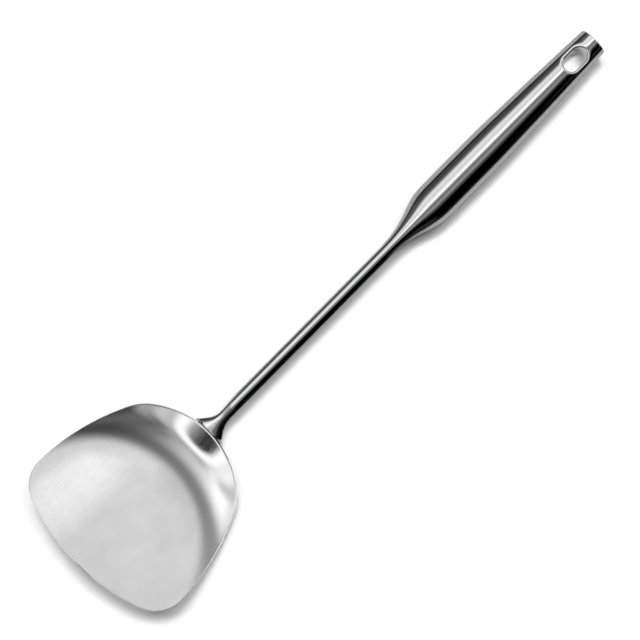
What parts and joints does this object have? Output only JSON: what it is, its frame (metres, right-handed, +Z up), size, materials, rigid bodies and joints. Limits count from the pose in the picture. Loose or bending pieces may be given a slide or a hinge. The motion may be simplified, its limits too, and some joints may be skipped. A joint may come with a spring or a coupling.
{
  "type": "wok spatula",
  "caption": "Stainless wok spatula: a tilted shield-shaped scoop blade with a curved back wall, a round shank welded under the rim and a hollow tapered handle with a hanging slot.",
  "frame": {"origin": "on the table under the middle of the spatula's overall length, in its plane of symmetry", "axes": "+X along the handle toward the butt end, +Z up out of the scoop as the spatula lies on a table, +Y across the blade"},
  "size_m": [0.3766, 0.1022, 0.0255],
  "materials": {
    "satin_steel": "stainless steel, fine satin grain on the floor, wall and rim polished",
    "polished_steel": "stainless steel, polished to a mirror",
    "weld_steel": "stainless steel weld, ground smooth"
  },
  "bodies": {
    "root": {"blade": "satin_steel", "shank": "polished_steel", "root_weld": "weld_steel", "nose_weld": "weld_steel", "upper_handle_shell": "polished_steel", "lower_handle_shell": "polished_steel", "slot_sleeve": "polished_steel", "end_cap": "polished_steel"}
  },
  "joints": []
}
